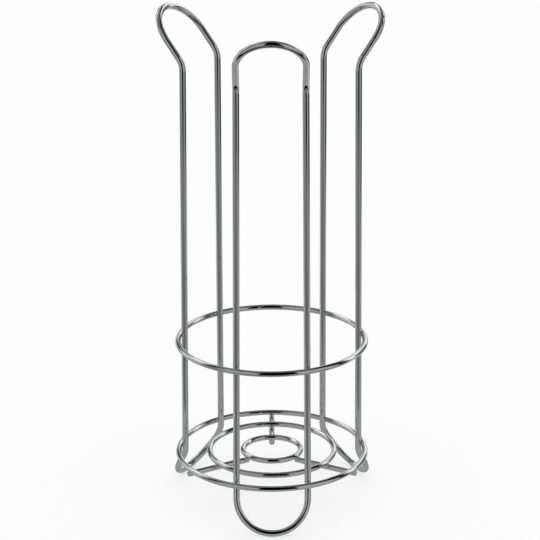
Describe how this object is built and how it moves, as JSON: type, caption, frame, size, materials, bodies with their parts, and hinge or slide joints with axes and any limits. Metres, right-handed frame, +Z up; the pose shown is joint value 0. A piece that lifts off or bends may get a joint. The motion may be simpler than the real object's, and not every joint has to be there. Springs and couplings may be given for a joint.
{
  "type": "toilet roll storage holder",
  "caption": "Free-standing chromed wire stand: tall flared wire loops round a ringed base hold a column of spare toilet rolls.",
  "frame": {"origin": "on the stand's vertical axis, which is the axis of all four rings, at the floor that the foot arcs rest on", "axes": "+Z up along the axis of the rings, -Y towards the front loop, +X to the right seen from the front"},
  "size_m": [0.1726, 0.1697, 0.3858],
  "materials": {
    "loop_wire": "bright chrome plate over drawn steel wire",
    "ring_wire": "bright chrome plate over drawn steel wire",
    "spoke_wire": "bright chrome plate over drawn steel wire"
  },
  "bodies": {
    "root": {"front_loop": "loop_wire", "rear_right_loop": "loop_wire", "rear_left_loop": "loop_wire", "upper_ring": "ring_wire", "base_outer_ring": "ring_wire", "base_middle_ring": "ring_wire", "base_inner_ring": "ring_wire", "back_spoke": "spoke_wire", "front_left_spoke": "spoke_wire", "front_right_spoke": "spoke_wire"}
  },
  "joints": []
}
